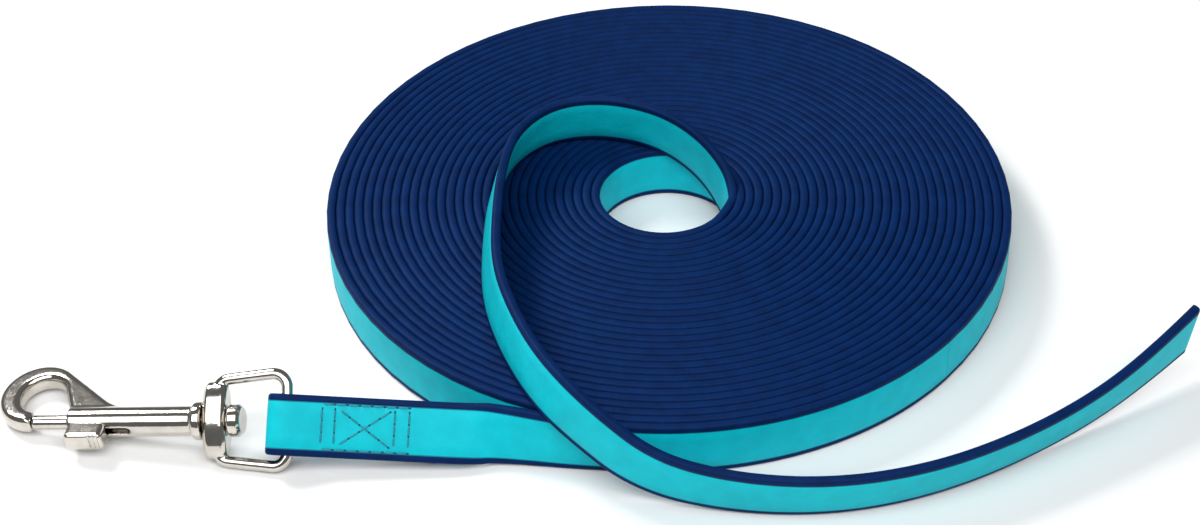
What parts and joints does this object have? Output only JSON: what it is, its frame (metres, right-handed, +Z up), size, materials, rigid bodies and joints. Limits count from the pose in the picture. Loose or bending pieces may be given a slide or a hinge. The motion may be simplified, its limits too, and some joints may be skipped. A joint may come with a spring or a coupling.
{
  "type": "training leash",
  "caption": "Flat coated training leash wound on edge into a spiral coil, with a swivel bolt snap sewn into one end and the other end loose.",
  "frame": {"origin": "on the table, under the middle of the box around the snap and the sewn end", "axes": "+X from the hook along the snap and the sewn end towards the coil, +Y across the table away from the side that the tail comes round, +Z up from the table"},
  "size_m": [0.3977, 0.2692, 0.0411],
  "materials": {
    "strap_face": "smooth satin coat",
    "strap_edge": "smooth satin coat",
    "webbing": "woven polyester",
    "needle_thread": "bonded polyester thread",
    "bobbin_thread": "bonded polyester thread",
    "bright_nickel": "polished nickel plate on a zinc casting",
    "spring_steel": "drawn spring wire"
  },
  "bodies": {
    "strap": {"strap_coil": "strap_face", "strap_lead": "strap_face", "strap_tail": "strap_face", "fold_jacket": "strap_edge", "fold_webbing_core": "webbing", "fold_face_outer": "strap_face", "fold_face_inner": "strap_face", "box_stitch_needle_thread": "needle_thread", "box_stitch_bobbin_thread": "bobbin_thread"},
    "eye": {"swivel_eye": "bright_nickel"},
    "snap": {"snap_body": "bright_nickel", "swivel_rivet": "bright_nickel", "bolt_spring": "spring_steel"},
    "gate": {"bolt": "bright_nickel", "thumb_knob": "bright_nickel"}
  },
  "joints": [
    {"name": "eye_hinge", "type": "hinge", "parent": "strap", "child": "eye", "pos_m": [0.02461, -0.01089, 0.0139], "axis": [-0.0107, 0.6862, 0.7273], "range_deg": [0, 120]},
    {"name": "swivel", "type": "hinge", "parent": "eye", "child": "snap", "pos_m": [0.02461, -0.01089, 0.0139], "axis": [0.9899, -0.0953, 0.1045], "continuous": true},
    {"name": "bolt_slide", "type": "slide", "parent": "snap", "child": "gate", "axis": [0.9899, -0.0953, 0.1045], "range_m": [0, 0.012], "stiffness_N_per_m": 250, "springref_m": -0.008, "deforming": ["bolt_spring"]}
  ]
}
